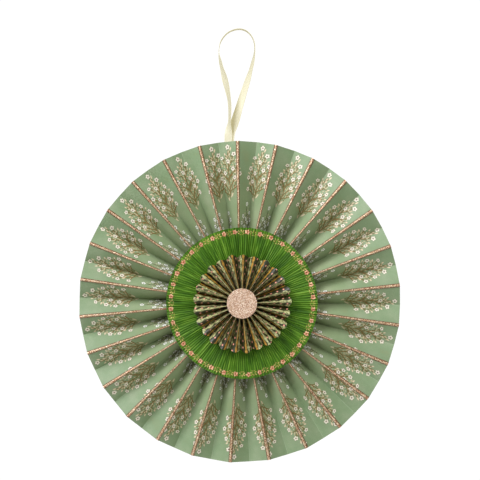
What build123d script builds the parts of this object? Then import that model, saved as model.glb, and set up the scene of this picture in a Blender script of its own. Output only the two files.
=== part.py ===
from build123d import *
from dataclasses import dataclass, field
from math import asin, atan2, cos, degrees, hypot, radians, sin, sqrt, tan
import os

# Paper fan medallion, a hanging decoration of three pleated layers, in millimetres.
# It hangs upright: +Z is up, its face looks along -Y and its back is the plane Y = 0.
# The origin is the centre of the rear face of the back disc. Forward places are
# counted from there, towards the viewer. Bearings run clockwise from the top, as seen
# from the front.

# Film of glue between two glued papers
glue = 0.05

# Large rosette: a strip of printed paper, folded to and fro and closed into a ring
large_pleats = 26
large_rim_radius = 150.0
large_hub_radius = 11.0
large_rim_depth = 9.0
large_paper = 0.3
large_span_count = 5
large_first_bearing = -0.8
large_drift = 2.1

# Glitter edging along each front fold of the large rosette, from under the green disc
# to the rim
edging_hidden_length = 8.3
edging_reach = 0.85
edging_height = 0.5
edging_lip = 0.25

# Back disc: round card, glued across the rear folds at the hub
back_disc_radius = 35.0
back_disc_card = 1.0

# Green disc: thin paper crimped all round, glued on the front folds of the large rosette
crimp_count = 180
green_rim_radius = 70.3
green_hub_radius = 20.0
green_rim_depth = 1.0
green_paper = 0.2
green_wave_height = 0.5
green_wave_count = 14
stack_shift_x = 2.0
stack_shift_z = -1.2

# Small rosette: a narrower strip with soft, rounded front folds, glued on the green disc
small_pleats = 25
small_ridge_radius = 45.8
small_valley_radius = 43.2
small_hub_radius = 8.0
small_rim_depth = 8.2
small_paper = 0.25
small_span_count = 4
small_rim_crown = 4.2
small_crown_fall = 0.28
small_first_bearing = 1.5

# Glitter disc: round glitter card, glued on the hub of the small rosette
glitter_disc_radius = 14.0
glitter_disc_card = 1.2
glitter_disc_edge = 0.3

# Ribbon: one length of satin, both ends glued behind a facet at the top of the rim
ribbon_width = 8.0
ribbon_thickness = 0.3
ribbon_tail = 20.0
ribbon_lead = 5.0
ribbon_clearance = 0.2
ribbon_sections = 56
# The route climbs from the front strand's glued end, goes over the loop and down again.
# Each point: sideways, forward of the glued facet, height above the rim, turn of the
# ribbon about its route in degrees (0 is flat to the front, 90 is edge-on)
ribbon_route = [
    (-9.3, 1.6, 19.5, 73),
    (-9.2, 2.4, 37.0, 68),
    (-13.6, 2.4, 56.5, 50),
    (-17.9, 1.8, 72.0, 70),
    (-20.3, 1.5, 85.0, 88),
    (-16.9, 1.4, 95.8, 90),
    (-8.2, 1.2, 103.4, 90),
    (3.3, 1.0, 104.9, 90),
    (11.9, 0.8, 97.9, 90),
    (14.8, 0.6, 86.8, 92),
    (11.6, 0.2, 70.5, 112),
    (5.9, -0.2, 52.0, 134),
    (0.2, -0.6, 34.0, 146),
    (-5.0, -1.0, 16.0, 168),
]
front_strand_side = -10.8
rear_strand_side = -9.6

# Shape of a crease: half of its flat crown, and how much narrower its inner side is,
# both as multiples of the paper's thickness
crease_half_crown = 0.75
crease_inset = 0.55


@dataclass
class FoldSection:
    """The paper across one fold, at one station between the hub and the rim."""

    depth: float
    crown: float
    rear_crown: float
    inset: float
    fall: float
    slope: float
    skin: float


@dataclass
class PleatedRing:
    """A strip of paper folded to and fro and closed into a flat ring."""

    ridge_bearings: list
    hub_radius: float
    ridge_radius: float
    valley_radius: float
    facet_width: float
    paper: float
    rear: float
    centre_x: float = 0.0
    centre_z: float = 0.0
    spans: int = 1
    crown_steps: list = field(default_factory=lambda: [0.0])
    valley_steps: list = field(default_factory=lambda: [0.0])
    rim_crown: float = 0.0
    crown_fall: float = 0.0
    wave_height: float = 0.0
    wave_count: int = 0

    def front(self):
        """Forward place of the highest fold, with the pleats standing upright."""
        return self.rear + self.facet_width

    def shares(self):
        """Stations along a fold, from 0 at the hub to 1 at the rim."""
        return [step / self.spans for step in range(self.spans + 1)]

    def place(self, bearing, radius, across, forward):
        """Point at a radius on a bearing, moved across it and forward."""
        turn = radians(bearing)
        x = self.centre_x + radius * sin(turn) + across * cos(turn)
        z = self.centre_z + radius * cos(turn) - across * sin(turn)
        return Vector(x, -forward, z)

    def half_crown(self, share):
        """Half the width of a front fold's crown."""
        crease = crease_half_crown * self.paper if len(self.crown_steps) > 1 else 0.0
        return crease + share * share * max(self.rim_crown / 2 - crease, 0.0)

    def middle(self, bearing, share):
        """Forward place of the plane midway between the front and rear folds."""
        wave = (1 + sin(self.wave_count * radians(bearing))) / 2
        return self.rear + self.facet_width / 2 + self.wave_height * share * wave

    def neighbours(self, number):
        """Bearings of the front folds before and after one of them."""
        bearing = self.ridge_bearings[number]
        before = self.ridge_bearings[number - 1]
        after = self.ridge_bearings[(number + 1) % len(self.ridge_bearings)]
        return bearing - (bearing - before) % 360, bearing + (after - bearing) % 360

    def fold(self, half_angle, share):
        """Section of a fold whose facets each span an angle, at a station.

        The paper keeps its width from fold to fold, so the pleats get shallower as the
        folds spread towards the rim. The skin is the paper's thickness along forward.
        """
        creased = len(self.valley_steps) > 1
        radius = self.hub_radius + share * (self.valley_radius - self.hub_radius)
        half_pitch = 2 * radius * sin(radians(half_angle) / 2)
        crown = self.half_crown(share)
        rear_crown = crease_half_crown * self.paper if creased else 0.0
        inset = crease_inset * self.paper if creased else 0.0
        fall = self.crown_fall * crown * share
        depth = sqrt(self.facet_width**2 - half_pitch**2)
        across = half_pitch - crown - rear_crown
        height = depth - fall
        slope = atan2(height, across) - asin(self.paper / sqrt(across**2 + height**2))
        skin = height - (across + inset) * tan(slope)
        return FoldSection(depth, crown, rear_crown, inset, fall, slope, skin)

    def ridge_edge(self, section, middle, step):
        """Front and rear of the paper at one edge of a front fold's crown."""
        edge_fall = section.fall * max(2 * abs(step) - 1, 0.0)
        outer = middle + section.depth / 2 - edge_fall
        front = (step * section.crown, outer)
        rear = (step * (section.crown - section.inset), outer - section.skin)
        return front, rear

    def valley_edge(self, section, middle, step):
        """Front and rear of the paper at one edge of a rear fold's crown."""
        outer = middle - section.depth / 2
        front = (step * (section.rear_crown - section.inset), outer + section.skin)
        rear = (step * section.rear_crown, outer)
        return front, rear

    def outline(self, bearing, half_angle, rim, edge, step):
        """Closed outline of the paper along one edge of a fold, from hub to rim."""
        front_line = []
        rear_line = []
        for share in self.shares():
            radius = self.hub_radius + share * (rim - self.hub_radius)
            section = self.fold(half_angle, share)
            front, rear = edge(section, self.middle(bearing, share), step)
            front_line.append(self.place(bearing, radius, *front))
            rear_line.append(self.place(bearing, radius, *rear))
        return Wire.make_polygon(front_line + rear_line[::-1])

    def solid(self):
        """The whole sheet: the outlines of its folds joined in turn all the way round."""
        outlines = []
        for number, bearing in enumerate(self.ridge_bearings):
            before, after = self.neighbours(number)
            ridge_span = (after - before) / 4
            valley_span = (after - bearing) / 2
            ridge = (bearing, ridge_span, self.ridge_radius, self.ridge_edge)
            valley = (bearing + valley_span, valley_span, self.valley_radius, self.valley_edge)
            outlines += [self.outline(*ridge, step) for step in self.crown_steps]
            outlines += [self.outline(*valley, step) for step in self.valley_steps]
        skin = Shell.make_loft(outlines + outlines[:1], ruled=True)
        return Solid(Shell(skin.faces()))


def facet_width(pleats, rim_radius, rim_depth):
    """Width of the paper from fold to fold that leaves the pleats a depth at the rim."""
    return hypot(2 * rim_radius * sin(radians(90 / pleats)), rim_depth)


def even_bearings(count, first, drift=0.0):
    """Bearings of the front folds, drawn apart towards the bottom of the ring."""
    bearings = []
    for number in range(count):
        even = first + 360 * number / count
        bearings.append(even + drift * (1 - cos(radians(even))))
    return bearings


def edging_line(ring, number, start_radius):
    """A raised line of glitter that straddles one front fold of the ring."""
    bearing = ring.ridge_bearings[number]
    before, after = ring.neighbours(number)
    run = ring.ridge_radius - ring.hub_radius
    start = (start_radius - ring.hub_radius) / run
    sections = []
    for share in [start] + [share for share in ring.shares() if share > start]:
        fold = ring.fold((after - before) / 4, share)
        ridge = ring.middle(bearing, share) + fold.depth / 2 + glue
        foot = fold.crown + edging_reach * cos(fold.slope)
        drop = edging_reach * sin(fold.slope)
        outline = [
            (-foot, ridge - drop),
            (-fold.crown, ridge),
            (fold.crown, ridge),
            (foot, ridge - drop),
            (foot, ridge - drop + edging_lip),
            (0.0, ridge + edging_height),
            (-foot, ridge - drop + edging_lip),
        ]
        radius = ring.hub_radius + share * run
        points = [ring.place(bearing, radius, *point) for point in outline]
        sections.append(Wire.make_polygon(points))
    return Solid.make_loft(sections, ruled=True)


def round_card(radius, card, rear, centre_x, centre_z, edge=0.0):
    """A round card whose rear face is at a forward place, with its front edge eased."""
    plane = Plane(origin=(centre_x, -rear, centre_z), z_dir=(0, -1, 0))
    disc = extrude(plane * Circle(radius), card)
    if edge:
        front_edge = disc.edges().sort_by(Axis.Y)[0]
        disc = fillet(front_edge, edge)
    return disc


def glued_facet(ring, side, height):
    """Where the rear of the facet beside the top fold lies, and how it leans there.

    Returns the forward place and the lean in degrees of the paper's rear face.
    """
    ridge = ring.ridge_bearings[0]
    before, after = ring.neighbours(0)
    valley = (before + ridge) / 2
    radius = sqrt(side**2 + height**2)
    bearing = degrees(asin(side / radius))
    share = (radius - ring.hub_radius) / (ring.ridge_radius - ring.hub_radius)
    fold = ring.fold(ridge - valley, share)
    across = (bearing - (valley + ridge) / 2) / (ridge - valley)
    forward = ring.middle(bearing, share) + across * fold.depth
    forward -= ring.paper / 2 / cos(fold.slope)
    return forward, degrees(fold.slope)


def ribbon_stations(ring):
    """Points of the ribbon's route with the turn of the ribbon at each."""
    rim = ring.ridge_radius
    strands = []
    for side, layers in ((front_strand_side, 0.5), (rear_strand_side, 1.5)):
        strand = []
        for height in (rim - ribbon_tail, rim):
            forward, lean = glued_facet(ring, side, height)
            stand_off = layers * (ribbon_thickness + ribbon_clearance)
            strand.append((side, forward - stand_off / cos(radians(lean)), height, lean))
        reach = 1 + ribbon_lead / ribbon_tail
        past_rim = [low + reach * (high - low) for low, high in zip(*strand)]
        strands.append([strand[0], tuple(past_rim)])
    seat = strands[0][1][1]
    stations = strands[0]
    stations += [(x, seat + ahead, rim + z, turn) for x, ahead, z, turn in ribbon_route]
    stations += [(x, forward, z, 180 - turn) for x, forward, z, turn in strands[1][::-1]]
    return stations


def corner_radii(points):
    """The largest bend that the two runs at each inner corner leave room for."""
    radii = []
    for before, corner, after in zip(points, points[1:], points[2:]):
        arriving = corner - before
        leaving = after - corner
        half_turn = radians(arriving.get_angle(leaving)) / 2
        radii.append(0.45 * min(arriving.length, leaving.length) / tan(half_turn))
    return radii


def ribbon_loop(ring):
    """The ribbon as a flat band that follows its route and turns about it."""
    stations = ribbon_stations(ring)
    points = [Vector(x, -forward, z) for x, forward, z, turn in stations]
    radii = corner_radii(points)
    print("ribbon bend radii", [round(radius, 1) for radius in radii])
    route = FilletPolyline(*points, radius=radii)
    marks = [0.0]
    for before, after in zip(points, points[1:]):
        marks.append(marks[-1] + (after - before).length)
    edges = [[], [], [], []]
    for number in range(ribbon_sections + 1):
        share = number / ribbon_sections
        reach = share * marks[-1]
        span = max(index for index in range(len(marks) - 1) if marks[index] <= reach)
        part = (reach - marks[span]) / (marks[span + 1] - marks[span])
        turn = stations[span][3] * (1 - part) + stations[span + 1][3] * part
        tangent = route % share
        flat = tangent.cross(Vector(0, -1, 0)).normalized()
        ahead = flat.cross(tangent)
        wide = (flat * cos(radians(turn)) + ahead * sin(radians(turn))) * (ribbon_width / 2)
        thick = tangent.cross(wide).normalized() * (ribbon_thickness / 2)
        centre = route @ share
        edges[0].append(centre - wide - thick)
        edges[1].append(centre + wide - thick)
        edges[2].append(centre + wide + thick)
        edges[3].append(centre - wide + thick)
    print("ribbon length", round(route.length, 1))
    lines = [Wire.make_polygon(edge, close=False) for edge in edges]
    faces = []
    for number in range(4):
        strip = Face.make_surface_from_curves(lines[number], lines[(number + 1) % 4])
        faces += strip.faces()
    for end in (0, -1):
        faces.append(Face(Wire.make_polygon([edge[end] for edge in edges])))
    return Solid(Shell(faces))


flat_fold = [-1.0, 1.0]
rounded_fold = [-1.0, -0.5, 0.5, 1.0]
stack_centre = {"centre_x": stack_shift_x, "centre_z": stack_shift_z}

large_ring = PleatedRing(
    ridge_bearings=even_bearings(large_pleats, large_first_bearing, large_drift),
    hub_radius=large_hub_radius,
    ridge_radius=large_rim_radius,
    valley_radius=large_rim_radius,
    facet_width=facet_width(large_pleats, large_rim_radius, large_rim_depth),
    paper=large_paper,
    rear=back_disc_card + glue,
    spans=large_span_count,
    crown_steps=flat_fold,
    valley_steps=flat_fold,
)

green_ring = PleatedRing(
    ridge_bearings=even_bearings(crimp_count, 0.0),
    hub_radius=green_hub_radius,
    ridge_radius=green_rim_radius,
    valley_radius=green_rim_radius,
    facet_width=facet_width(crimp_count, green_rim_radius, green_rim_depth),
    paper=green_paper,
    rear=large_ring.front() + glue,
    wave_height=green_wave_height,
    wave_count=green_wave_count,
    **stack_centre,
)

small_ring = PleatedRing(
    ridge_bearings=even_bearings(small_pleats, small_first_bearing),
    hub_radius=small_hub_radius,
    ridge_radius=small_ridge_radius,
    valley_radius=small_valley_radius,
    facet_width=facet_width(small_pleats, small_valley_radius, small_rim_depth),
    paper=small_paper,
    rear=green_ring.front() + glue,
    spans=small_span_count,
    crown_steps=rounded_fold,
    valley_steps=flat_fold,
    rim_crown=small_rim_crown,
    crown_fall=small_crown_fall,
    **stack_centre,
)

parts = {
    "back_disc": round_card(back_disc_radius, back_disc_card, 0.0, 0.0, 0.0),
    "large_rosette": large_ring.solid(),
    "green_disc": green_ring.solid(),
    "small_rosette": small_ring.solid(),
    "glitter_disc": round_card(
        glitter_disc_radius,
        glitter_disc_card,
        small_ring.front() + glue,
        stack_shift_x,
        stack_shift_z,
        glitter_disc_edge,
    ),
    "ribbon_loop": ribbon_loop(large_ring),
}
for number in range(large_pleats):
    parts[f"ridge_edging_{number + 1:02d}"] = edging_line(
        large_ring, number, green_rim_radius - edging_hidden_length
    )

os.makedirs("parts", exist_ok=True)
for name, solid in parts.items():
    export_step(solid, f"parts/{name}.step")
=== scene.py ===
import math
import random

import bpy
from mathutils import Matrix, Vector, noise


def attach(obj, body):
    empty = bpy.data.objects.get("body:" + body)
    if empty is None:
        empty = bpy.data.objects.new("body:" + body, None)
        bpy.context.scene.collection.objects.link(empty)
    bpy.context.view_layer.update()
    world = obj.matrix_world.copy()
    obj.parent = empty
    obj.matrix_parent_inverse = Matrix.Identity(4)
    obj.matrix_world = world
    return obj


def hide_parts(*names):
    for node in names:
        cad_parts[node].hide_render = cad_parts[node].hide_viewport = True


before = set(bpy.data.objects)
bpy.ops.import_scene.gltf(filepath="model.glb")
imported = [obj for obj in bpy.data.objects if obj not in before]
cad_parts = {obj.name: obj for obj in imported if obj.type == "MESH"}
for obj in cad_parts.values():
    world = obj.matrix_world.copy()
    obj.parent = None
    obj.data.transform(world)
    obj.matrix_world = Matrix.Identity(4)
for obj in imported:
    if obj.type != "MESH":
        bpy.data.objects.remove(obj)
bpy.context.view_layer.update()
mm = 0.001


# Viewpoint
# The photograph looks straight at the medallion from about two metres away. The middle of
# the picture lies between the rim's centre and the top of the hanging loop.
view_distance = 2.0
picture_side = 446.2 * mm
picture_middle_x = 0.2 * mm
picture_middle_z = 57.5 * mm
rim_forward = 20.5 * mm

viewpoint = bpy.data.cameras.new("viewpoint")
viewpoint.sensor_width = 36.0
viewpoint.lens = viewpoint.sensor_width * (view_distance - rim_forward) / picture_side
viewpoint.clip_end = 50.0
camera = bpy.data.objects.new("camera", viewpoint)
camera.location = (picture_middle_x, -view_distance, picture_middle_z)
camera.rotation_euler = (math.radians(90), 0.0, 0.0)
bpy.context.scene.collection.objects.link(camera)
bpy.context.scene.camera = camera
bpy.context.scene.view_settings.view_transform = "Standard"


# Ribbon loop
# One length of cream satin ribbon, with both ends glued flat behind a facet at the top of
# the rim. It twists to edge-on as it rises, so the loop above shows as a thin line.
ribbon_width = 8.0 * mm
ribbon_thickness = 0.3 * mm
ribbon_selvedge = 0.55 * mm
ribbon_length = 272.0 * mm
# The ribbon cups slightly across its width, but not at its glued ends
ribbon_cup = 0.35 * mm
ribbon_cup_fade = 60.0 * mm
# Each point of the route: sideways, forward, height in millimetres, and the turn of the
# ribbon about its route in degrees, where 0 is flat to the front and 90 is edge-on
ribbon_route = [
    (-10.8, 9.7, 130.0, 39),
    (-10.8, 11.2, 155.0, 23),
    (-9.3, 12.8, 169.5, 73),
    (-9.2, 13.6, 187.0, 68),
    (-13.6, 13.6, 206.5, 50),
    (-17.9, 13.0, 222.0, 70),
    (-20.3, 12.7, 235.0, 88),
    (-16.9, 12.6, 245.8, 94),
    (-8.2, 12.4, 253.4, 94),
    (3.3, 12.2, 254.9, 94),
    (11.9, 12.0, 247.9, 94),
    (14.8, 11.8, 236.8, 95),
    (11.6, 11.4, 220.5, 112),
    (5.9, 11.0, 202.0, 134),
    (0.2, 10.6, 184.0, 146),
    (-5.0, 10.2, 166.0, 168),
    (-9.6, 11.1, 155.0, 157),
    (-9.6, 10.0, 130.0, 141),
]


class Value:
    """A socket in a finish's nodes, so that shader maths reads as plain sums."""

    def __init__(self, finish, socket):
        self.finish = finish
        self.socket = socket

    def math(self, operation, *others, use_clamp=False):
        terms = dict(enumerate((self, *others)))
        return self.finish.node("Math", terms, operation=operation, use_clamp=use_clamp)

    def __add__(self, other):
        return self.math("ADD", other)

    def __radd__(self, other):
        return self.math("ADD", other)

    def __sub__(self, other):
        return self.math("SUBTRACT", other)

    def __rsub__(self, other):
        return self.finish.node("Math", {0: other, 1: self}, operation="SUBTRACT")

    def __mul__(self, other):
        return self.math("MULTIPLY", other)

    def __rmul__(self, other):
        return self.math("MULTIPLY", other)

    def __truediv__(self, other):
        return self.math("DIVIDE", other)

    def __abs__(self):
        return self.math("ABSOLUTE")

    def clamped(self):
        return self.math("MULTIPLY", 1.0, use_clamp=True)


class Finish:
    """A material made of nodes, named for the piece's real finish."""

    def __init__(self, name, roughness):
        self.material = bpy.data.materials.new(name)
        self.material.use_nodes = True
        self.nodes = self.material.node_tree.nodes
        self.links = self.material.node_tree.links
        self.shader = self.nodes["Principled BSDF"]
        self.shader.inputs["Roughness"].default_value = roughness

    def node(self, kind, sockets=None, output=0, stops=(), **settings):
        """Adds a node, sets it up, fills its sockets and returns one of its outputs."""
        made = self.nodes.new("ShaderNode" + kind)
        for name, setting in settings.items():
            setattr(made, name, setting)
        if stops:
            ramp = made.color_ramp.elements
            while len(ramp) > 1:
                ramp.remove(ramp[0])
            ramp[0].position, ramp[0].color = stops[0]
            for position, colour in stops[1:]:
                ramp.new(position).color = colour
        for name, value in (sockets or {}).items():
            if isinstance(value, Value):
                self.links.new(value.socket, made.inputs[name])
            else:
                made.inputs[name].default_value = value
        return Value(self, made.outputs[output])

    def vector(self, operation, *terms, output=0):
        return self.node(
            "VectorMath", dict(enumerate(terms)), output=output, operation=operation
        )

    def mix(self, share, under, over):
        """Colour `over` laid on colour `under`, as far as the share says."""
        return self.node("Mix", {0: share, 6: under, 7: over}, output=2, data_type="RGBA")

    def feed(self, name, value):
        self.links.new(value.socket, self.shader.inputs[name])

    def relief(self, height, depth):
        """Bumps of a depth in metres, from a height between 0 and 1."""
        self.feed("Normal", self.node("Bump", {"Height": height, "Distance": depth}))


def paint(red, green, blue):
    """A colour as a colour picker shows it, from 0 to 255, as the linear one of a shader."""
    channels = []
    for part in (red, green, blue):
        part /= 255
        channels.append(part / 12.92 if part <= 0.04045 else ((part + 0.055) / 1.055) ** 2.4)
    return (*channels, 1.0)


def use_modifier(piece, kind, **settings):
    """Adds a modifier to a piece and applies it."""
    bpy.context.view_layer.objects.active = piece
    modifier = piece.modifiers.new(kind, kind)
    for name, setting in settings.items():
        setattr(modifier, name, setting)
    bpy.ops.object.modifier_apply(modifier=modifier.name)


def grid_piece(name, across, along):
    """A flat square grid as a new piece, for a strip that is then laid in its place."""
    bpy.ops.object.select_all(action="DESELECT")
    bpy.ops.mesh.primitive_grid_add(x_subdivisions=across, y_subdivisions=along, size=1.0)
    piece = bpy.context.object
    piece.name = piece.data.name = name
    return piece


def lay(piece, place):
    """Lays a grid in its place, and keeps each point's place on the flat strip as its UV.

    `place` takes a point's shares across and along the grid, from 0 to 1, and returns
    the point and its place on the flat strip in millimetres.
    """
    flat = {}
    for vertex in piece.data.vertices:
        point, flat[vertex.index] = place(vertex.co.x + 0.5, vertex.co.y + 0.5)
        vertex.co = point
    layer = piece.data.uv_layers[0]
    for loop in piece.data.loops:
        layer.uv[loop.index].vector = flat[loop.vertex_index]


def edit_all(piece, *operators):
    """Runs edit-mode operators on the whole of a piece."""
    bpy.context.view_layer.objects.active = piece
    bpy.ops.object.mode_set(mode="EDIT")
    bpy.ops.mesh.select_all(action="SELECT")
    for operator, settings in operators:
        operator(**settings)
    bpy.ops.object.mode_set(mode="OBJECT")


def smooth(piece, degrees):
    """Shades a piece smooth, except across edges sharper than an angle."""
    bpy.ops.object.select_all(action="DESELECT")
    piece.select_set(True)
    bpy.context.view_layer.objects.active = piece
    bpy.ops.object.shade_smooth_by_angle(angle=math.radians(degrees))


route_curve = bpy.data.curves.new("ribbon_route", "CURVE")
route_curve.dimensions = "3D"
route_curve.resolution_u = 24
spline = route_curve.splines.new("NURBS")
spline.points.add(len(ribbon_route) - 1)
for point, (side, forward, height, _) in zip(spline.points, ribbon_route):
    point.co = (side * mm, -forward * mm, height * mm, 1.0)
spline.order_u = 3
spline.use_endpoint_u = True
route_object = bpy.data.objects.new("ribbon_route", route_curve)
bpy.context.scene.collection.objects.link(route_object)
bpy.context.view_layer.update()
route_mesh = bpy.data.meshes.new_from_object(route_object)
route_points = [vertex.co.copy() for vertex in route_mesh.vertices]
bpy.data.objects.remove(route_object)

route_marks = [0.0]
for before, after in zip(route_points, route_points[1:]):
    route_marks.append(route_marks[-1] + (after - before).length)


def along_route(share):
    """Point and direction at a share of the route's length."""
    reach = share * route_marks[-1]
    index = 0
    while index < len(route_marks) - 2 and route_marks[index + 1] < reach:
        index += 1
    part = (reach - route_marks[index]) / (route_marks[index + 1] - route_marks[index])
    before = route_points[max(index - 1, 0)]
    after = route_points[min(index + 2, len(route_points) - 1)]
    return route_points[index].lerp(route_points[index + 1], part), (after - before).normalized()


control_points = [Vector((x, -forward, z)) for x, forward, z, _ in ribbon_route]
control_marks = [0.0]
for before, after in zip(control_points, control_points[1:]):
    control_marks.append(control_marks[-1] + (after - before).length)


def ribbon_turn(share):
    """Turn of the ribbon about its route, in radians, at a share of the route's length."""
    reach = share * control_marks[-1]
    span = max(n for n in range(len(control_marks) - 1) if control_marks[n] <= reach)
    part = (reach - control_marks[span]) / (control_marks[span + 1] - control_marks[span])
    part = part * part * (3 - 2 * part)
    return math.radians(ribbon_route[span][3] * (1 - part) + ribbon_route[span + 1][3] * part)


def ribbon_place(across, along):
    """A point of the ribbon."""
    centre, tangent = along_route(along)
    flat = tangent.cross(Vector((0, -1, 0))).normalized()
    ahead = flat.cross(tangent)
    turn = ribbon_turn(along)
    wide = flat * math.cos(turn) + ahead * math.sin(turn)
    side = 2 * across - 1
    free = min(along, 1 - along) * ribbon_length / ribbon_cup_fade
    cup = ribbon_cup * min(free, 1.0) * (1 - side * side)
    point = centre + wide * side * ribbon_width / 2 + tangent.cross(wide) * cup
    return point, (across * ribbon_width / mm, along * ribbon_length / mm)


ribbon = grid_piece("satin_ribbon_loop", across=12, along=220)
lay(ribbon, ribbon_place)
use_modifier(ribbon, "SOLIDIFY", thickness=ribbon_thickness, offset=0.0)
edit_all(ribbon, (bpy.ops.mesh.normals_make_consistent, {"inside": False}))
smooth(ribbon, 60)

satin = Finish("cream_satin", 0.42)
flat = satin.node("UVMap", uv_map="UVMap")
from_middle = abs(satin.node("SeparateXYZ", {0: flat}) - ribbon_width / mm / 2)
selvedge = from_middle.math("GREATER_THAN", (ribbon_width / 2 - ribbon_selvedge) / mm)
thread = satin.node("Mapping", {"Vector": flat, "Scale": (3.0, 0.06, 1.0)})
threads = satin.node("TexNoise", {"Vector": thread, "Scale": 1.0, "Detail": 2.0})
soft = satin.node("TexNoise", {"Vector": flat, "Scale": 0.12, "Detail": 2.0})
cream = satin.mix(threads, paint(179, 178, 166), paint(192, 192, 184))
cream = satin.mix(soft * 0.4, cream, paint(196, 188, 146))
cream = satin.mix(selvedge * 0.3, cream, paint(196, 190, 160))
satin.feed("Base Color", cream)
satin.feed("Roughness", threads * 0.16 + 0.34)
satin.relief(threads, 0.02 * mm)
satin.shader.inputs["Sheen Weight"].default_value = 0.3
satin.shader.inputs["Sheen Roughness"].default_value = 0.35
# The satin glows faintly warm: painted light, standing in for light that soaks through the thin
# ribbon.
satin.shader.inputs["Emission Color"].default_value = paint(255, 232, 130)
satin.shader.inputs["Emission Strength"].default_value = 0.16
ribbon.data.materials.append(satin.material)

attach(ribbon, "root")
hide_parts("ribbon_loop")


# Back disc
# A round of plain card, cut with a punch and glued across the rear folds at the hub, so
# that the ring of pleats holds together. Its cut edge is slightly rounded.
back_disc_radius = 35.0 * mm
back_disc_card = 1.0 * mm
back_disc_edge = 0.15 * mm


def round_blank(name, radius, thickness, rear, centre_x, centre_z):
    """A round blank whose rear face is at a forward place, as a new piece."""
    bpy.ops.object.select_all(action="DESELECT")
    bpy.ops.mesh.primitive_cylinder_add(
        vertices=128,
        radius=radius,
        depth=thickness,
        location=(centre_x, -rear - thickness / 2, centre_z),
        rotation=(math.radians(90), 0.0, 0.0),
    )
    blank = bpy.context.object
    blank.name = blank.data.name = name
    bpy.ops.object.transform_apply(location=True, rotation=True, scale=True)
    return blank


back_disc = round_blank(
    "card_back_disc", back_disc_radius, back_disc_card, rear=0.0, centre_x=0.0, centre_z=0.0
)
use_modifier(back_disc, "BEVEL", width=back_disc_edge, segments=2, limit_method="ANGLE")
smooth(back_disc, 40)

card = Finish("plain_card", 0.85)
spot = card.node("TexCoord", output=3)
pulp = card.node("TexNoise", {"Vector": spot, "Scale": 140.0, "Detail": 5.0})
fibres = card.node("TexNoise", {"Vector": spot, "Scale": 1600.0, "Detail": 3.0})
flecks = ((fibres - 0.66) * 12.0).clamped()
tone = card.mix(pulp, paint(218, 211, 194), paint(238, 233, 220))
card.feed("Base Color", card.mix(flecks * 0.5, tone, paint(176, 160, 130)))
card.relief(fibres, 0.05 * mm)
back_disc.data.materials.append(card.material)

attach(back_disc, "root")
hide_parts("back_disc")


# Large rosette
# A strip of printed paper, pasted up from two lengths, folded to and fro 52 times and
# closed into a ring. Its facets bow a little, because paper never folds quite flat.
glue = 0.05 * mm
large_pleats = 26
large_rim_radius = 150.0 * mm
large_hub_radius = 11.0 * mm
large_rim_depth = 9.0 * mm
large_paper = 0.3 * mm
large_first_bearing = -0.8
large_drift = 2.1
large_rear = back_disc_card + glue
large_facet = math.hypot(
    2 * large_rim_radius * math.sin(math.radians(90 / large_pleats)), large_rim_depth
)
large_bow = 0.35 * mm
large_flutter = 0.4 * mm
large_crease = 0.25 * mm
# Where the columns of the strip lie across each facet, close together near the folds
facet_columns = [0.0, 0.035, 0.12, 0.3, 0.5, 0.7, 0.88, 0.965]


class Ring:
    """The folds of a pleated ring, from the bearings of its front folds and a facet's width.

    A fold is its bearing, the angle that a facet spans beside it, and its side: -0.5 for
    a rear fold and 0.5 for a front one.
    """

    def __init__(self, bearings, facet, rear, centre=(0.0, 0.0)):
        self.facet = facet
        self.rear = rear
        self.centre = centre
        self.folds = []
        spread = [bearings[-1] - 360, *bearings, bearings[0] + 360]
        for before, ridge, after in zip(spread, spread[1:], spread[2:]):
            self.folds.append(((before + ridge) / 2, (ridge - before) / 2, -0.5))
            self.folds.append((ridge, (after - before) / 4, 0.5))
        closing, angle, side = self.folds[0]
        self.folds.append((closing + 360, angle, side))

    def place(self, bearing, radius, across, forward):
        """A point at a bearing, clockwise from the top, and moved across and forward."""
        turn = math.radians(bearing)
        x = self.centre[0] + radius * math.sin(turn) + across * math.cos(turn)
        z = self.centre[1] + radius * math.cos(turn) - across * math.sin(turn)
        return Vector((x, -forward, z))

    def depth(self, half_angle, radius):
        """Depth of the pleats at a radius, where a facet spans an angle."""
        half_pitch = 2 * radius * math.sin(math.radians(half_angle) / 2)
        return math.sqrt(self.facet**2 - half_pitch**2)

    def fold_point(self, number, radius):
        """Where a fold lies at a radius. Even numbers are rear folds, odd ones front."""
        bearing, half_angle, side = self.folds[number]
        forward = self.rear + self.facet / 2 + side * self.depth(half_angle, radius)
        return self.place(bearing, radius, 0.0, forward)


def even_bearings(count, first, drift=0.0):
    """Bearings of the front folds, drawn apart towards the bottom of the ring."""
    evens = [first + 360 * number / count for number in range(count)]
    return [even + drift * (1 - math.cos(math.radians(even))) for even in evens]


large_ring = Ring(
    even_bearings(large_pleats, large_first_bearing, large_drift), large_facet, large_rear
)
large_facets = 2 * large_pleats
chance = random.Random(7)
large_bows = [large_bow * chance.uniform(-0.6, 1.6) for _ in range(large_facets)]


def large_place(across, along):
    """A point of the large strip once it is folded."""
    column = round(across * large_facets * len(facet_columns))
    number = min(column // len(facet_columns), large_facets - 1)
    step = column - number * len(facet_columns)
    part = facet_columns[step] if step < len(facet_columns) else 1.0
    radius = large_hub_radius + along * (large_rim_radius - large_hub_radius)
    before = large_ring.fold_point(number, radius)
    after = large_ring.fold_point(number + 1, radius)
    outward = large_ring.place(large_ring.folds[number][0], 1.0, 0.0, 0.0)
    normal = (after - before).cross(outward).normalized()
    flutter = noise.noise(Vector((number * 3.1, along * 4.0, part * 1.3)))
    bow = (large_bows[number] + flutter * large_flutter) * 4 * part * (1 - part) * along
    flat = ((number + part) * large_facet / mm, radius / mm)
    return before.lerp(after, part) + normal * bow, flat


def face_front(piece):
    """Turns the faces of a laid strip to the front, if they look to the back."""
    if piece.data.polygons[0].normal.y > 0:
        edit_all(piece, (bpy.ops.mesh.flip_normals, {}))


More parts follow.
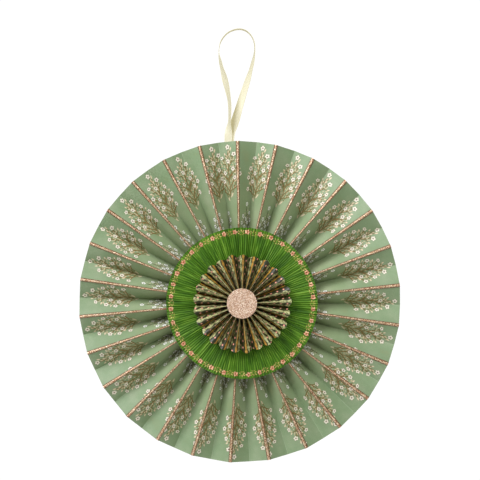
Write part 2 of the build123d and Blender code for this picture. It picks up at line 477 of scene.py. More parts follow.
def close_ring(piece):
    """Joins the two ends of a laid strip, so that it is one ring, with its face in front."""
    edit_all(piece, (bpy.ops.mesh.remove_doubles, {"threshold": 0.001 * mm}))
    face_front(piece)


large_rosette = grid_piece(
    "printed_paper_rosette", across=large_facets * len(facet_columns), along=28
)
lay(large_rosette, large_place)
close_ring(large_rosette)
use_modifier(
    large_rosette, "BEVEL", width=large_crease, segments=3, limit_method="ANGLE",
    angle_limit=math.radians(20),
)

printed = Finish("printed_paper", 0.62)
flat = printed.node("UVMap", uv_map="UVMap")
strip = printed.node("SeparateXYZ", {0: flat})
radius_mm = printed.node("SeparateXYZ", {0: flat}, output=1)
spot = printed.node("TexCoord", output=3)

# The print repeats along the strip, and jumps where the two lengths are pasted together.
# A sprig stands on its foot and grows towards the rim. Twigs alternate on its stem: the
# left half is the right half, mirrored and set lower, and the whole sways a little.
sprig_repeat = 38.55
sprig_start = 47.2
sprig_foot = 99.5
joint_place = 371.9
joint_jump = 6.7
stagger = 1.8
sway_reach = 4.0
jump = strip.math("GREATER_THAN", joint_place) * joint_jump


def sprig_points(shift, foot):
    """A point's place in the repeating sprig: folded over the stem, and as it is."""
    turns = (strip + jump - sprig_start + shift) / sprig_repeat + 0.5
    across = (turns.math("FRACT") - 0.5) * sprig_repeat
    level = printed.node("CombineXYZ", {0: across, 1: radius_mm - foot})
    drift = printed.node("TexNoise", {"Vector": level, "Scale": 0.075, "Detail": 1.0}, output=1)
    sway = printed.vector("SUBTRACT", drift, (0.5, 0.5, 0.5))
    sway = printed.node("VectorMath", {0: sway, 3: sway_reach}, operation="SCALE")
    wavy = printed.vector("ADD", level, sway)
    x = printed.node("SeparateXYZ", {0: wavy})
    y = printed.node("SeparateXYZ", {0: wavy}, output=1)
    folded = printed.node("CombineXYZ", {0: abs(x), 1: y - x.math("SIGN") * stagger})
    return folded, printed.node("CombineXYZ", {0: x, 1: y})


def strokes(finish, point, lines):
    """How far inside the nearest of some straight strokes a point is, in millimetres.

    A line is its start, its end, and half its width in the middle and at its ends.
    """
    cover = None
    for start, end, middle, ends in lines:
        run = Vector(end) - Vector(start)
        towards = finish.vector("SUBTRACT", point, (*start, 0.0))
        scaled = (*(run / run.length_squared), 0.0)
        share = finish.vector("DOT_PRODUCT", towards, scaled, output=1).clamped()
        foot = finish.node("VectorMath", {0: (*run, 0.0), 3: share}, operation="SCALE")
        gap = finish.vector("DISTANCE", towards, foot, output=1)
        width = middle
        if middle != ends:
            width = share * (1 - share) * (4 * (middle - ends)) + ends
        inside = width - gap if isinstance(width, Value) else gap * -1.0 + width
        cover = inside if cover is None else cover.math("MAXIMUM", inside)
    return cover


def fan(finish, point, foot, near, far, pitch, rays):
    """Mask of leaf blades that spread upwards like a fan from a foot on the stem."""
    towards = finish.vector("SUBTRACT", point, (0.0, foot, 0.0))
    x = finish.node("SeparateXYZ", {0: towards})
    y = finish.node("SeparateXYZ", {0: towards}, output=1)
    reach = finish.vector("LENGTH", towards, output=1)
    angle = x.math("ARCTAN2", y)
    gap = abs((angle / pitch).math("FRACT") - 0.5) * reach * pitch
    share = ((reach - near) / (far - near)).clamped()
    blade = share * (1 - share) * 2.6
    inside = ((blade - gap) * 4.0).clamped()
    return inside * angle.math("LESS_THAN", pitch * rays)


def scattered(finish, point, lean, length, width):
    """Mask of small strokes scattered over a print and leaning one way, and their tones."""
    place = {"Vector": point, "Rotation": (0.0, 0.0, math.radians(lean))}
    place["Scale"] = (length, width, 1.0)
    cells = {"Vector": finish.node("Mapping", place, vector_type="TEXTURE")}
    cells.update({"Scale": 1.0, "Randomness": 0.7})
    gap = finish.node("TexVoronoi", cells, voronoi_dimensions="2D")
    tone = finish.node("TexVoronoi", cells, output=1, voronoi_dimensions="2D")
    return ((0.37 - gap) * 7.0).clamped(), finish.node("SeparateXYZ", {0: tone})


def envelope(finish, point, middle, half_height, half_width):
    """Mask of the rounded outline that a sprig fills."""
    x = finish.node("SeparateXYZ", {0: point})
    y = finish.node("SeparateXYZ", {0: point}, output=1)
    level = (y - middle) / half_height
    return (((1 - level * level) * half_width - abs(x)) * 0.8).clamped()


def nearest(finish, point, centres, reach):
    """The place of a point from the centre of the blossom that it lies in."""
    from_centre = (99.0, 99.0, 0.0)
    for centre in centres:
        towards = finish.vector("SUBTRACT", point, (*centre, 0.0))
        near = finish.vector("LENGTH", towards, output=1).math("LESS_THAN", reach)
        from_centre = finish.node(
            "Mix", {0: near, 4: from_centre, 5: towards}, output=1, data_type="VECTOR"
        )
    return from_centre


def blossom(finish, under, from_centre, radius, turn, inks):
    """Prints a five-petalled blossom. Its inks: outline, petals, their bases and the eye."""
    x = finish.node("SeparateXYZ", {0: from_centre})
    y = finish.node("SeparateXYZ", {0: from_centre}, output=1)
    gap = finish.vector("LENGTH", from_centre, output=1)
    lobes = ((y.math("ARCTAN2", x) + turn) * 5.0).math("COSINE")
    edge = lobes * (0.14 * radius) + 0.86 * radius
    outline, petals, base, eye = inks
    print_ = finish.mix(((edge - gap + 0.45) * 2.5).clamped() * 0.55, under, outline)
    print_ = finish.mix(((edge - gap) * 5.0).clamped(), print_, petals)
    print_ = finish.mix(((0.62 * radius - gap) * 1.1).clamped() * 0.8, print_, base)
    return finish.mix(((0.3 * radius - gap) * 6.0).clamped() * 0.9, print_, eye)


main_twigs = [
    ((0.0, -2.0), (0.0, 43.0), 0.7, 0.5),
    ((0.0, 2.0), (11.6, 7.6), 0.6, 0.45),
    ((0.0, 4.0), (7.0, 14.0), 0.7, 0.45),
    ((3.0, 8.6), (13.0, 17.2), 0.6, 0.45),
    ((0.0, 12.0), (4.8, 22.0), 0.7, 0.45),
    ((2.0, 15.6), (10.4, 26.2), 0.6, 0.45),
    ((0.0, 24.0), (6.6, 36.2), 0.6, 0.45),
    ((3.2, 30.0), (8.2, 31.4), 0.5, 0.4),
    ((6.4, 20.6), (12.4, 22.6), 0.5, 0.4),
    ((6.0, 5.0), (9.8, 12.0), 0.6, 0.4),
    ((0.0, 34.0), (3.2, 40.6), 0.6, 0.4),
]
main_buds = [
    ((0.9, -3.2), (3.6, 0.4), 0.95, 0.3),
    ((9.6, 11.6), (11.0, 14.2), 0.85, 0.3),
    ((12.0, 22.2), (14.2, 23.6), 0.85, 0.3),
    ((8.0, 31.0), (10.2, 32.4), 0.85, 0.3),
    ((3.0, 40.2), (4.0, 42.8), 0.85, 0.3),
    ((1.2, 35.6), (2.4, 38.0), 0.75, 0.3),
]
# Each fan of blades: the height of its foot, where its blades start and end, the angle
# between them in radians, and how many of them lie to one side of the stem
main_fans = [(-6.0, 5.0, 18.0, 0.2, 3), (7.0, 5.0, 14.0, 0.26, 2)]
main_blossoms = [(12.2, 8.2), (7.4, 14.8), (13.4, 18.2), (5.0, 23.4), (10.9, 27.4), (7.0, 37.4)]
stem_blossoms = [(0.5, 45.4), (-0.3, 31.6)]
main_blossom_radius = 2.35
main_inks = [paint(88, 82, 44), paint(220, 213, 197), paint(192, 180, 165), paint(86, 64, 52)]

# Inwards from this radius the ground is painted lighter, as painted light that lifts the shade
# near the hub, in millimetres
hub_light_start = 118.0
hub_light_run = 43.0
grain = printed.node("TexNoise", {"Vector": spot, "Scale": 1500.0, "Detail": 3.0})
mottle = printed.node("TexNoise", {"Vector": flat, "Scale": 0.9, "Detail": 3.0})
cloud = printed.node("TexNoise", {"Vector": flat, "Scale": 0.055, "Detail": 4.0})
ground = printed.node(
    "ValToRGB",
    {0: cloud * 0.7 + mottle * 0.3},
    stops=[
        (0.32, paint(127, 139, 101)),
        (0.44, paint(121, 144, 108)),
        (0.56, paint(132, 150, 117)),
        (0.68, paint(142, 156, 127)),
    ],
)
ground = printed.mix(grain * 0.3, ground, paint(108, 127, 90))
# The ground is painted paler towards the hub: painted light against the shade between the deep
# folds there.
painted_hub_light = ((hub_light_start - radius_mm) / hub_light_run).clamped()
ground = printed.mix(painted_hub_light * 0.17, ground, paint(200, 199, 148))

half, whole = sprig_points(0.0, sprig_foot)
brown = printed.mix((mottle - 0.5) * 4.0 + 0.5, paint(118, 81, 28), paint(98, 87, 28))
leaves, tone = scattered(printed, half, lean=56.0, length=3.1, width=1.6)
leaves = leaves * envelope(printed, half, middle=19.0, half_height=24.0, half_width=13.0)
leaf_ink = printed.mix(tone.math("GREATER_THAN", 0.45), brown, paint(200, 176, 142))
artwork = printed.mix(leaves * tone.math("GREATER_THAN", 0.18) * 0.9, ground, leaf_ink)
for foot, near, far, pitch, rays in main_fans:
    blades = fan(printed, half, foot, near, far, pitch, rays)
    artwork = printed.mix(blades * 0.7, artwork, paint(98, 85, 30))
twigs = (strokes(printed, half, main_twigs) * 4.0).clamped()
artwork = printed.mix(twigs * 0.88, artwork, brown)
leaves, tone = scattered(printed, half, lean=22.0, length=3.4, width=1.7)
leaves = leaves * envelope(printed, half, middle=23.0, half_height=21.0, half_width=12.5)
leaves = leaves * tone.math("GREATER_THAN", 0.66)
artwork = printed.mix(leaves * 0.85, artwork, paint(204, 184, 150))
buds = (strokes(printed, half, main_buds) * 4.0).clamped()
artwork = printed.mix(buds * 0.9, artwork, paint(216, 195, 166))
middles = nearest(printed, half, main_blossoms, main_blossom_radius + 0.5)
artwork = blossom(printed, artwork, middles, main_blossom_radius, turn=0.3, inks=main_inks)
middles = nearest(printed, whole, stem_blossoms, main_blossom_radius + 0.5)
artwork = blossom(printed, artwork, middles, main_blossom_radius, turn=0.9, inks=main_inks)

# Small sprigs stand between the main ones, near the green disc, in colder colours
small_sprig_shift = 12.5
small_sprig_foot = 68.0
small_twigs = [
    ((0.0, -8.0), (0.0, 22.0), 0.5, 0.5),
    ((0.0, 2.0), (7.4, 7.0), 0.45, 0.4),
    ((0.0, 6.5), (5.2, 13.0), 0.45, 0.4),
    ((0.0, -5.0), (5.6, -0.4), 0.45, 0.4),
]
small_blossoms = [(7.6, 7.4), (5.6, 13.4), (2.6, 4.6), (6.0, 0.0)]
small_stem_blossoms = [(0.4, 23.6), (-0.4, 9.6), (0.2, -4.0)]
small_blossom_radius = 2.15
small_inks = [paint(58, 54, 32), paint(232, 234, 226), paint(190, 190, 178), paint(82, 70, 60)]
half, whole = sprig_points(small_sprig_shift, small_sprig_foot)
twigs = (strokes(printed, half, small_twigs) * 4.0).clamped()
small_brown = printed.mix((mottle - 0.5) * 4.0 + 0.5, paint(64, 50, 26), paint(78, 76, 40))
artwork = printed.mix(twigs * 0.9, artwork, small_brown)
for foot in (-9.0, 1.0):
    blades = fan(printed, half, foot, near=3.0, far=13.0, pitch=0.27, rays=3)
    artwork = printed.mix(blades * 0.85, artwork, small_brown)
leaves, tone = scattered(printed, half, lean=58.0, length=2.7, width=1.6)
leaves = leaves * envelope(printed, half, middle=3.0, half_height=20.0, half_width=9.5)
leaf_ink = printed.mix(tone.math("GREATER_THAN", 0.5), paint(84, 66, 34), paint(196, 188, 160))
artwork = printed.mix(leaves * 0.85, artwork, leaf_ink)
for centres, point, turn in ((small_blossoms, half, 0.5), (small_stem_blossoms, whole, 0.1)):
    middles = nearest(printed, point, centres, small_blossom_radius + 0.5)
    artwork = blossom(printed, artwork, middles, small_blossom_radius, turn, small_inks)

# The ink is rubbed slightly paler along the folds, and the folds carry a painted highlight as well
fold_gap = abs(((strip / (large_facet / mm) + 0.5).math("FRACT") - 0.5) * (large_facet / mm))
# Paler along the folds: partly rubbed ink, partly painted highlight.
rubbed_and_highlit = ((0.5 - fold_gap) * 3.0).clamped() * grain
artwork = printed.mix(rubbed_and_highlit * 0.4, artwork, paint(190, 200, 178))
printed.feed("Base Color", artwork)
printed.feed("Roughness", grain * 0.16 + 0.5)
printed.relief(grain * 0.7 + cloud * 0.3, 0.05 * mm)

reverse = Finish("paper_reverse", 0.8)
spot = reverse.node("TexCoord", output=3)
grain = reverse.node("TexNoise", {"Vector": spot, "Scale": 1500.0, "Detail": 3.0})
cloud = reverse.node("TexNoise", {"Vector": spot, "Scale": 45.0, "Detail": 4.0})
pale = reverse.mix(cloud, paint(224, 226, 214), paint(242, 241, 232))
reverse.feed("Base Color", reverse.mix(grain * 0.25, pale, paint(196, 198, 184)))
reverse.relief(grain, 0.05 * mm)

large_rosette.data.materials.append(printed.material)
large_rosette.data.materials.append(reverse.material)
use_modifier(
    large_rosette, "SOLIDIFY", thickness=large_paper, offset=0.0, material_offset=1,
    material_offset_rim=1,
)
smooth(large_rosette, 50)
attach(large_rosette, "root")
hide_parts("large_rosette")


# Glitter edgings
# Each front fold of the large rosette carries a raised line of copper glitter, set in
# clear glue. It starts under the green disc and runs out to the rim.
green_rim_radius = 70.3 * mm
edging_hidden_length = 8.3 * mm
edging_start = green_rim_radius - edging_hidden_length
edging_reach = 1.5 * mm
edging_height = 0.8 * mm
edging_lip = 0.25 * mm
edging_skin = 0.18 * mm
edging_crown = 1.1 * large_paper
edging_fullness = 0.75
grain_rise = 0.11 * mm
# Where painted shade starts on its flanks, from 0 at the crest to 1 at the foot, and how it fades
# in
flank_shade_start = 0.4
flank_shade_fade = 0.45

glitter_line = Finish("copper_glitter_edging", 0.32)
spot = glitter_line.node("TexCoord", output=3)
flake_colour = glitter_line.node("TexVoronoi", {"Vector": spot, "Scale": 2300.0}, output=1)
flake_gap = glitter_line.node("TexVoronoi", {"Vector": spot, "Scale": 2300.0})
flake = glitter_line.node("SeparateXYZ", {0: flake_colour})
flat = glitter_line.node("UVMap", uv_map="UVMap")
off_crest = abs(glitter_line.node("SeparateXYZ", {0: flat}))
painted_flank_shade = ((off_crest - flank_shade_start) / flank_shade_fade).clamped()
glint = glitter_line.node("SeparateXYZ", {0: flake_colour}, output=1)
copper = glitter_line.node(
    "ValToRGB",
    {0: flake},
    stops=[
        (0.0, paint(88, 51, 28)),
        (0.3, paint(154, 106, 73)),
        (0.62, paint(203, 158, 122)),
        (0.87, paint(250, 232, 202)),
    ],
)
# The flanks are painted dark brown and made less metallic: painted shade where the raised line
# meets the paper.
glitter_line.feed("Base Color", glitter_line.mix(painted_flank_shade * 0.85, copper, paint(88, 44, 20)))
glitter_line.feed("Metallic", (glint * 0.4 + 0.4) * (1 - painted_flank_shade * 0.6))
glitter_line.feed("Roughness", glint * 0.35 + 0.22)
glitter_line.relief(flake * 0.6 + flake_gap * 0.5, 0.1 * mm)
glitter_line.shader.inputs["Coat Weight"].default_value = 0.25

for number in range(large_pleats):
    bearing, half_angle, _ = large_ring.folds[2 * number + 1]
    chance = random.Random(100 + number)

    def edging_place(across, along):
        """A point of the rounded line of glitter, which straddles its fold."""
        radius = edging_start + along * (large_rim_radius - edging_start)
        depth = large_ring.depth(half_angle, radius)
        half_pitch = math.sqrt(large_facet**2 - depth**2)
        slope = math.atan2(depth, half_pitch)
        ridge = large_rear + large_facet / 2 + depth / 2 + glue
        foot = edging_crown + edging_reach * math.cos(slope)
        drop = edging_reach * math.sin(slope) - edging_lip
        side = 2 * across - 1
        dome = math.cos(side * math.pi / 2) ** edging_fullness
        rise = grain_rise * chance.uniform(-0.7, 1.0)
        forward = ridge - drop + (drop + edging_height) * dome + rise * dome
        shift = side * (foot + rise)
        return large_ring.place(bearing, radius, shift, forward), (side, radius / mm)

    edging = grid_piece(f"glitter_edging_{number + 1:02d}", across=8, along=190)
    lay(edging, edging_place)
    face_front(edging)
    use_modifier(edging, "SOLIDIFY", thickness=edging_skin, offset=-1.0)
    edging.data.materials.append(glitter_line.material)
    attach(edging, "root")
    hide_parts(f"ridge_edging_{number + 1:02d}")


# Green disc
# A ring of thin leaf-green paper, crimped all round between rollers and glued on the
# front folds. Its border is printed with small copper flowers and gold sprays.
crimp_count = 180
green_hub_radius = 20.0 * mm
green_rim_depth = 1.0 * mm
green_paper = 0.2 * mm
green_wave_height = 1.0 * mm
green_bend = 1.3
green_rear = large_rear + large_facet + glue
green_facet = math.hypot(
    2 * green_rim_radius * math.sin(math.radians(90 / crimp_count)), green_rim_depth
)
stack_centre = (2.0 * mm, -1.2 * mm)
green_ring = Ring(even_bearings(crimp_count, first=0.0), green_facet, green_rear, stack_centre)
chance = random.Random(21)
crimp_steps = 4
crimp_shift = [chance.uniform(-0.5, 0.5) for _ in green_ring.folds]
crimp_depth = [chance.uniform(0.4, 0.95) for _ in green_ring.folds]
crimp_shift[-1], crimp_depth[-1] = crimp_shift[0], crimp_depth[0]
green_facets = 2 * crimp_count


def green_fold(number, radius, along):
    """Where a crimp lies at a radius. No two crimps are quite alike, and the ring buckles."""
    bearing, half_angle, side = green_ring.folds[number]
    round_place = Vector((math.cos(math.radians(bearing)), math.sin(math.radians(bearing)), 0.0))
    bend = noise.noise(round_place * 2.5 + Vector((0.0, 0.0, along * 1.4))) * green_bend * along
    turn = bearing + crimp_shift[number] * 360 / green_facets + bend
    wave = noise.noise(round_place * 4.0 + Vector((0.0, 0.0, 5.0 + along * 0.8)))
    wave = green_wave_height * min(max(0.5 + wave, 0.0), 1.0) * along**2
    depth = green_ring.depth(half_angle, radius) * crimp_depth[number]
    forward = green_rear + green_facet / 2 + wave + side * depth
    return green_ring.place(turn, radius, 0.0, forward)


def green_place(across, along):
    """A point of the green ring."""
    column = round(across * green_facets * crimp_steps)
    number = min(column // crimp_steps, green_facets - 1)
    part = (column - number * crimp_steps) / crimp_steps
    radius = green_hub_radius + along * (green_rim_radius - green_hub_radius)
    before = green_fold(number, radius, along)
    after = green_fold(number + 1, radius, along)
    eased = part * part * (3 - 2 * part)
    point = before.lerp(after, part)
    point.y = before.y + (after.y - before.y) * eased
    return point, ((number + part - 1) * 360 / green_facets, radius / mm)


green_disc = grid_piece("crimped_paper_disc", across=green_facets * crimp_steps, along=12)
lay(green_disc, green_place)
close_ring(green_disc)
use_modifier(green_disc, "SOLIDIFY", thickness=green_paper, offset=0.0)
smooth(green_disc, 60)

leaf_green = Finish("crimped_green_paper", 0.5)
flat = leaf_green.node("UVMap", uv_map="UVMap")
bearing_turn = leaf_green.node("SeparateXYZ", {0: flat})
radius_mm = leaf_green.node("SeparateXYZ", {0: flat}, output=1)
spot = leaf_green.node("TexCoord", output=3)
streak_place = leaf_green.node("Mapping", {"Vector": flat, "Scale": (2.5, 0.07, 1.0)})
streaks = leaf_green.node(
    "TexNoise", {"Vector": streak_place, "Scale": 1.0, "Detail": 3.0, "Distortion": 0.4}
)
broad_place = leaf_green.node("Mapping", {"Vector": flat, "Scale": (0.16, 0.03, 1.0)})
broad = leaf_green.node(
    "TexNoise", {"Vector": broad_place, "Scale": 1.0, "Detail": 2.0, "Distortion": 0.8}
)
# The front crests of the crimps are painted lighter and the rear folds darker: painted light and
# shade.
crest_light_and_shade = (bearing_turn * (math.pi * green_facets / 360)).math("COSINE")
fibres = leaf_green.node("TexNoise", {"Vector": spot, "Scale": 1800.0, "Detail": 2.0})
green = leaf_green.node(
    "ValToRGB",
    {0: streaks * 0.5 + broad * 0.3 + crest_light_and_shade * 0.035 + 0.1},
    stops=[
        (0.36, paint(29, 59, 2)),
        (0.46, paint(54, 93, 9)),
        (0.54, paint(75, 119, 19)),
        (0.64, paint(123, 161, 54)),
    ],
)
green = leaf_green.mix(fibres * 0.2, green, paint(36, 79, 10))

flower_pitch = 10.0
flower_radius = 66.0
flower_size = 2.5
spray_leaves = [
    ((0.6, -0.2), (2.8, 1.8), 0.62, 0.15),
    ((0.8, -0.8), (3.4, -1.2), 0.6, 0.15),
    ((0.0, -2.0), (1.8, -2.6), 0.45, 0.15),
    ((0.0, 0.4), (0.0, 2.6), 0.5, 0.15),
]
arc_mm = math.radians(flower_radius)
cell = (bearing_turn / flower_pitch).math("FLOOR")
luck = leaf_green.node("TexWhiteNoise", {"W": cell}, noise_dimensions="1D")
along_border = ((bearing_turn / flower_pitch).math("FRACT") - 0.5) * (flower_pitch * arc_mm)
from_flower = leaf_green.node(
    "CombineXYZ", {0: along_border + (luck - 0.5), 1: radius_mm - flower_radius - luck * 0.6}
)
between = ((bearing_turn / flower_pitch + 0.5).math("FRACT") - 0.5) * (flower_pitch * arc_mm)
from_spray = leaf_green.node("CombineXYZ", {0: abs(between), 1: radius_mm - flower_radius})
spray = (strokes(leaf_green, from_spray, spray_leaves) * 4.0).clamped()
flecks = leaf_green.node("TexNoise", {"Vector": spot, "Scale": 900.0, "Detail": 2.0})
flecks = ((flecks - 0.5) * 5.0 + 0.5).clamped()
gold_print = leaf_green.mix(flecks, paint(136, 119, 43), paint(210, 188, 119))
ink = leaf_green.mix(spray * 0.85, green, gold_print)
copper_print = leaf_green.mix(flecks, paint(164, 91, 58), paint(232, 192, 156))
copper_inks = [paint(65, 52, 13), copper_print, paint(199, 140, 104), paint(123, 54, 33)]
ink = blossom(leaf_green, ink, from_flower, flower_size, turn=0.0, inks=copper_inks)
leaf_green.feed("Base Color", ink)
leaf_green.feed("Roughness", fibres * 0.2 + 0.55)
leaf_green.shader.inputs["Specular IOR Level"].default_value = 0.25
leaf_green.relief(fibres * 0.4 + streaks * 0.6, 0.12 * mm)
green_disc.data.materials.append(leaf_green.material)

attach(green_disc, "root")
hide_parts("green_disc")


# Small rosette
# A narrower strip of patterned paper, folded 50 times. Its front folds are soft: tight at
# the hub, and opened out to round tips at the rim.
small_pleats = 25
small_ridge_radius = 45.8 * mm
small_valley_radius = 43.2 * mm
small_hub_radius = 8.0 * mm
small_rim_depth = 8.2 * mm
small_paper = 0.25 * mm
small_lift = 0.1 * mm
small_rear = green_rear + green_facet + small_lift + glue
small_facet = math.hypot(
    2 * small_valley_radius * math.sin(math.radians(90 / small_pleats)), small_rim_depth
)
small_ring = Ring(
    even_bearings(small_pleats, first=1.5), small_facet, small_rear, stack_centre
)
small_curl = 0.6 * mm
small_notch = 0.8 * mm
small_sway = 0.8 * mm
small_columns = 18
small_tip_curve = 1.8
# As shares of the way from hub to rim: where a pleat starts to open, over how long a
# stretch it opens, and where it starts to flare
small_opening_start = 0.2
small_opening_run = 0.6
small_flare_start = 0.78
# How far the opening and the flare each turn the fold into an arch, where 1 is all the way
small_opening_share = 0.55
small_flare_share = 0.4
chance = random.Random(5)
small_lean = [chance.uniform(-1.0, 1.0) * small_sway for _ in range(small_pleats)]
small_reach = [chance.uniform(-0.9, 0.5) * mm for _ in range(small_pleats)]
small_open = [chance.uniform(0.6, 0.95) for _ in range(small_pleats)]


def small_place(across, along):
    """A point of the small strip. A pleat is a sharp fold at the hub, and opens to an arch."""
    column = round(across * small_pleats * small_columns)
    number = min(column // small_columns, small_pleats - 1)
    part = (column - number * small_columns) / small_columns
    ridge, half_angle, side = small_ring.folds[2 * number + 1]
    swing = 2 * part - 1
    away = abs(swing)
    flare = max(along - small_flare_start, 0.0) / (1 - small_flare_start)
    opening = min(max((along - small_opening_start) / small_opening_run, 0.0), 1.0)
    opened = small_open[number] * (small_opening_share * opening + small_flare_share * flare)
    arch_side = math.sin(away * math.pi / 2)
    arch_height = max(math.cos(away * math.pi / 2), 0.0)
    sideways = away + (arch_side - away) * opened
    upright = 1 - away + (arch_height - 1 + away) * opened
    valley_reach = small_hub_radius + along * (small_valley_radius - small_hub_radius)
    valley_reach -= small_notch * flare**2
    ridge_rim = small_ridge_radius + small_reach[number]
    ridge_reach = small_hub_radius + along * (ridge_rim - small_hub_radius)
    radius = valley_reach + (ridge_reach - valley_reach) * (1 - sideways**small_tip_curve)
    depth = small_ring.depth(half_angle, min(valley_reach, small_valley_radius))
    forward = small_rear + small_facet / 2 + depth * (upright - 0.5)
    forward += small_curl * flare**2 * upright
    bearing = ridge + math.copysign(sideways * half_angle, swing)
    point = small_ring.place(bearing, radius, small_lean[number] * along * (1 - away), forward)
    return point, ((number + part) * 2 * small_facet / mm, radius / mm)


small_rosette = grid_piece(
    "patterned_paper_rosette", across=small_pleats * small_columns, along=22
)
lay(small_rosette, small_place)
close_ring(small_rosette)

patterned = Finish("patterned_paper", 0.5)
flat = patterned.node("UVMap", uv_map="UVMap")
strip = patterned.node("SeparateXYZ", {0: flat})
radius_mm = patterned.node("SeparateXYZ", {0: flat}, output=1)
spot = patterned.node("TexCoord", output=3)
grain = patterned.node("TexNoise", {"Vector": spot, "Scale": 1700.0, "Detail": 3.0})
wobble = patterned.node("TexNoise", {"Vector": flat, "Scale": 0.35, "Detail": 2.0})

# Each band of the print has a mustard stripe, two rows of feathers, given by their places
# and half widths, and two rows of dots. All of them run out along the pleats.
band_repeat = 18.19
band_start = 9.8
mustard_half = 1.3
feathers = [(-3.6, 1.9), (9.1, 2.4)]
dot_places = (4.5, -6.4)
dot_radius = 0.98
dot_pitch = 6.1
barb_pitch = 2.2
plume_pitch = 8.4


def bands_before(place):
    """How many bands at a place lie before a point of the strip."""
    return (strip - band_start - place) / band_repeat + 0.5


def from_band(place):
    """How far across the strip a point is from the nearest band at a place."""
    return (bands_before(place).math("FRACT") - 0.5) * band_repeat


def band_shift(place, step):
    """A step for each band, so that neighbouring bands don't line up across the strip."""
    return bands_before(place).math("FLOOR") * step


blotch = patterned.node("TexNoise", {"Vector": flat, "Scale": 0.55, "Detail": 3.0})
blotch = ((blotch - 0.5) * 3.5 + 0.5).clamped()
olive = patterned.mix(grain, paint(23, 26, 8), paint(49, 51, 21))
mustard_ink = patterned.mix(blotch, paint(124, 92, 30), paint(188, 141, 58))
grey_ink = patterned.mix(blotch, paint(100, 102, 54), paint(212, 212, 154))
wave = (radius_mm * (2 * math.pi / dot_pitch) + band_shift(0.0, 1.9)).math("SINE") * 0.35
gap = abs(from_band(0.0) + wobble - 0.5)
mustard = ((mustard_half + wave - gap) * 2.5).clamped()
colours = patterned.mix(mustard, olive, mustard_ink)
for place, half_width in feathers:
    gap = abs(from_band(place) + wobble - 0.5)
    turn = radius_mm * (2 * math.pi / plume_pitch) + band_shift(place, 2.4) + place
    plume = turn.math("SINE") * 0.35 + 0.85
    feather = (plume * half_width - gap) * 2.0
    barbs = ((radius_mm - gap * 1.4) / barb_pitch + wobble + band_shift(place, 0.43)).math("FRACT")
    tone = patterned.mix(barbs.math("LESS_THAN", 0.3) * 0.28, grey_ink, paint(70, 68, 36))
    colours = patterned.mix(feather.clamped() * 0.9, colours, tone)
for place in dot_places:
    dot_row = (radius_mm / dot_pitch + band_shift(place, 0.37)).math("FRACT") - 0.5
    from_dot = patterned.node("CombineXYZ", {0: from_band(place), 1: dot_row * dot_pitch})
    dots = ((dot_radius - patterned.vector("LENGTH", from_dot, output=1)) * 4.0).clamped()
    colours = patterned.mix(dots * 0.9, colours, paint(232, 154, 136))
fold_gap = abs(((strip / (2 * small_facet / mm)).math("FRACT") - 0.5) * (2 * small_facet / mm))
# The crests near the hub are painted pale: partly rubbed ink, partly painted highlight.
rubbed_and_highlit = ((0.75 - fold_gap) * 2.0).clamped() * ((1.5 - radius_mm / 28.0).clamped())
colours = patterned.mix(rubbed_and_highlit * 0.8, colours, paint(206, 198, 150))
patterned.feed("Base Color", colours)
patterned.feed("Roughness", grain * 0.2 + 0.32)
patterned.relief(grain, 0.06 * mm)
small_rosette.data.materials.append(patterned.material)
small_rosette.data.materials.append(reverse.material)
use_modifier(
    small_rosette, "SOLIDIFY", thickness=small_paper, offset=0.0, material_offset=1,
    material_offset_rim=1,
)
smooth(small_rosette, 60)

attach(small_rosette, "root")
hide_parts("small_rosette")


# Glitter disc
# A punched round of card, covered all over with fine pale copper glitter, and glued on the
# hub of the small rosette. The grains stand up from its face.
glitter_disc_radius = 14.0 * mm
glitter_disc_card = 1.2 * mm
glitter_disc_edge = 0.3 * mm
glitter_grain = 0.22 * mm
# How far the grains sink into the face or stand out of it, in millimetres
grain_stand = (-0.05, 0.07)
glitter_rear = small_rear + small_facet + glue
glitter_disc = round_blank(
    "glitter_card_disc", glitter_disc_radius, glitter_disc_card, glitter_rear, *stack_centre
)
use_modifier(glitter_disc, "BEVEL", width=glitter_disc_edge, segments=3, limit_method="ANGLE")
use_modifier(glitter_disc, "REMESH", mode="VOXEL", voxel_size=glitter_grain)
chance = random.Random(33)
for vertex in glitter_disc.data.vertices:
    if vertex.normal.y < -0.1:
        vertex.co += vertex.normal * chance.uniform(*grain_stand) * mm

glitter = Finish("pale_copper_glitter", 0.35)
spot = glitter.node("TexCoord", output=3)
flake_colour = glitter.node("TexVoronoi", {"Vector": spot, "Scale": 1900.0}, output=1)
flake = glitter.node("SeparateXYZ", {0: flake_colour})
glint = glitter.node("SeparateXYZ", {0: flake_colour}, output=1)
rose = glitter.node(
    "ValToRGB",
    {0: flake},
    stops=[
        (0.0, paint(131, 92, 68)),
        (0.3, paint(173, 136, 110)),
        (0.7, paint(199, 167, 143)),
        (0.93, paint(235, 219, 201)),
    ],
)
glitter.feed("Base Color", rose)
glitter.feed("Metallic", glint * 0.4 + 0.1)
glitter.feed("Roughness", glint * 0.3 + 0.25)
glitter.relief(flake, 0.1 * mm)
glitter.shader.inputs["Coat Weight"].default_value = 0.2
glitter_disc.data.materials.append(glitter.material)

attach(glitter_disc, "root")
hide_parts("glitter_disc")


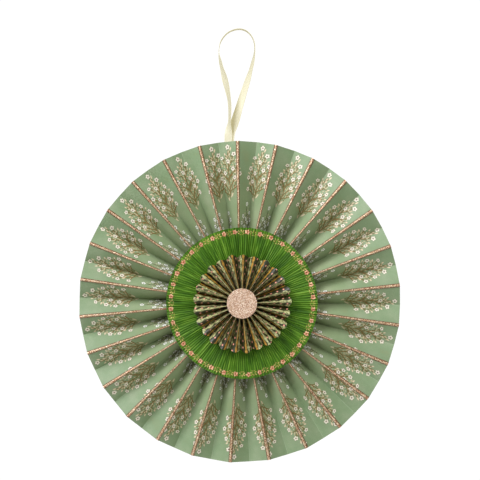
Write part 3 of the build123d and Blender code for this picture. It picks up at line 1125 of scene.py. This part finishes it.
# Studio
# A pale floor well below the medallion, which hangs free in front of plain white. The key
# light stands high on the left, a weak small one near the front on the right, and one lights
# the back. The surroundings fill the shadows with a warm white.
floor_height = -0.55
floor_size = 2.6
bpy.ops.object.select_all(action="DESELECT")
bpy.ops.mesh.primitive_circle_add(
    vertices=96, radius=floor_size / 2, fill_type="NGON", location=(0.0, 0.0, floor_height)
)
floor = bpy.context.object
floor.name = "pale_floor"
pale_floor = Finish("pale_floor", 0.9)
spot = pale_floor.node("TexCoord", output=3)
plaster = pale_floor.node("TexNoise", {"Vector": spot, "Scale": 30.0, "Detail": 3.0})
pale_floor.feed("Base Color", pale_floor.mix(plaster, paint(236, 236, 234), paint(244, 244, 243)))
floor.data.materials.append(pale_floor.material)

surroundings = bpy.data.worlds.new("white_surroundings")
bpy.context.scene.world = surroundings
surroundings.use_nodes = True
world_nodes = surroundings.node_tree.nodes
world_links = surroundings.node_tree.links
behind = world_nodes.new("ShaderNodeLightPath")
fill = world_nodes["Background"]
fill.inputs["Color"].default_value = (1.0, 0.97, 0.7, 1.0)
fill.inputs["Strength"].default_value = 0.24
seen = world_nodes.new("ShaderNodeBackground")
seen.inputs["Color"].default_value = (1.0, 1.0, 1.0, 1.0)
seen.inputs["Strength"].default_value = 1.05
either = world_nodes.new("ShaderNodeMixShader")
world_links.new(behind.outputs["Is Camera Ray"], either.inputs[0])
world_links.new(fill.outputs[0], either.inputs[1])
world_links.new(seen.outputs[0], either.inputs[2])
world_links.new(either.outputs[0], world_nodes["World Output"].inputs["Surface"])


def studio_light(name, place, aim, size, power, colour=(1.0, 1.0, 1.0)):
    """A square soft light at a place, turned towards a point."""
    light = bpy.data.lights.new(name, "AREA")
    light.color = colour
    light.size = size
    light.energy = power
    lamp = bpy.data.objects.new(name, light)
    lamp.location = place
    lamp.rotation_euler = (Vector(aim) - Vector(place)).to_track_quat("-Z", "Y").to_euler()
    bpy.context.scene.collection.objects.link(lamp)


studio_light(
    "key_light", place=(-1.05, -1.15, 1.25), aim=(0.0, 0.0, 0.0), size=1.1, power=47.0,
    colour=(0.98, 0.99, 1.05),
)
studio_light("fill_light", place=(0.28, -0.58, 0.33), aim=(0.06, 0.0, 0.06), size=0.3, power=1.7)
studio_light("back_light", place=(0.6, 1.6, 1.0), aim=(0.0, 0.0, 0.05), size=1.2, power=30.0)

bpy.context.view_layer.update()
